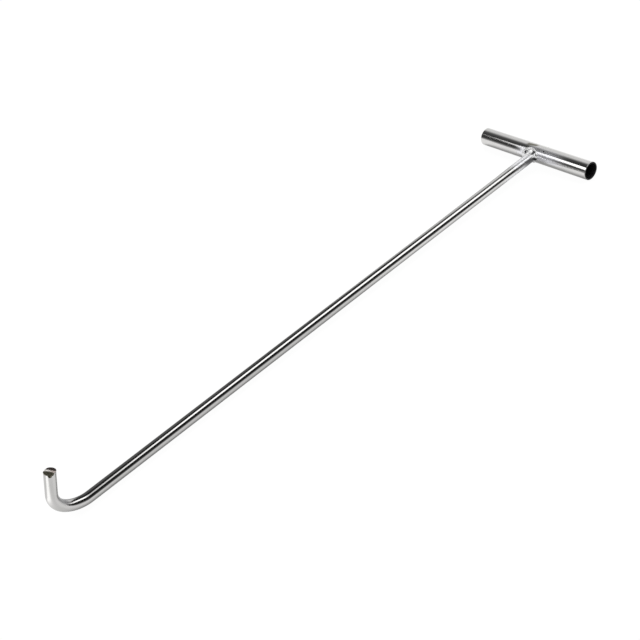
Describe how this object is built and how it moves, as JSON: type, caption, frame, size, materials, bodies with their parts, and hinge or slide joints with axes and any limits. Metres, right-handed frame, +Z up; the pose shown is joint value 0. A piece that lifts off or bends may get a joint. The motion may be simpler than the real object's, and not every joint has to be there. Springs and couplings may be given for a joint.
{
  "type": "manhole cover lifter",
  "caption": "Manhole cover lifter: a round steel bar bent into an open hook, with a plain open tube welded across its other end as a T handle, bright zinc plated.",
  "frame": {"origin": "middle of the footprint, on the floor that the handle tube and the underside of the bend touch", "axes": "+X along the bar from the hook to the handle, +Y along the handle tube, +Z up, the way the hook's tip points"},
  "size_m": [0.6802, 0.16, 0.0631],
  "materials": {
    "bar_zinc": "bright zinc plate over drawn bar, bare sheared steel at the tip",
    "tube_zinc": "bright zinc plate over welded tube, dull dark bore",
    "weld_zinc": "zinc plate over a rippled weld, duller in the grooves"
  },
  "bodies": {
    "root": {"hook_bar": "bar_zinc", "handle_tube": "tube_zinc", "weld_bead": "weld_zinc"}
  },
  "joints": []
}
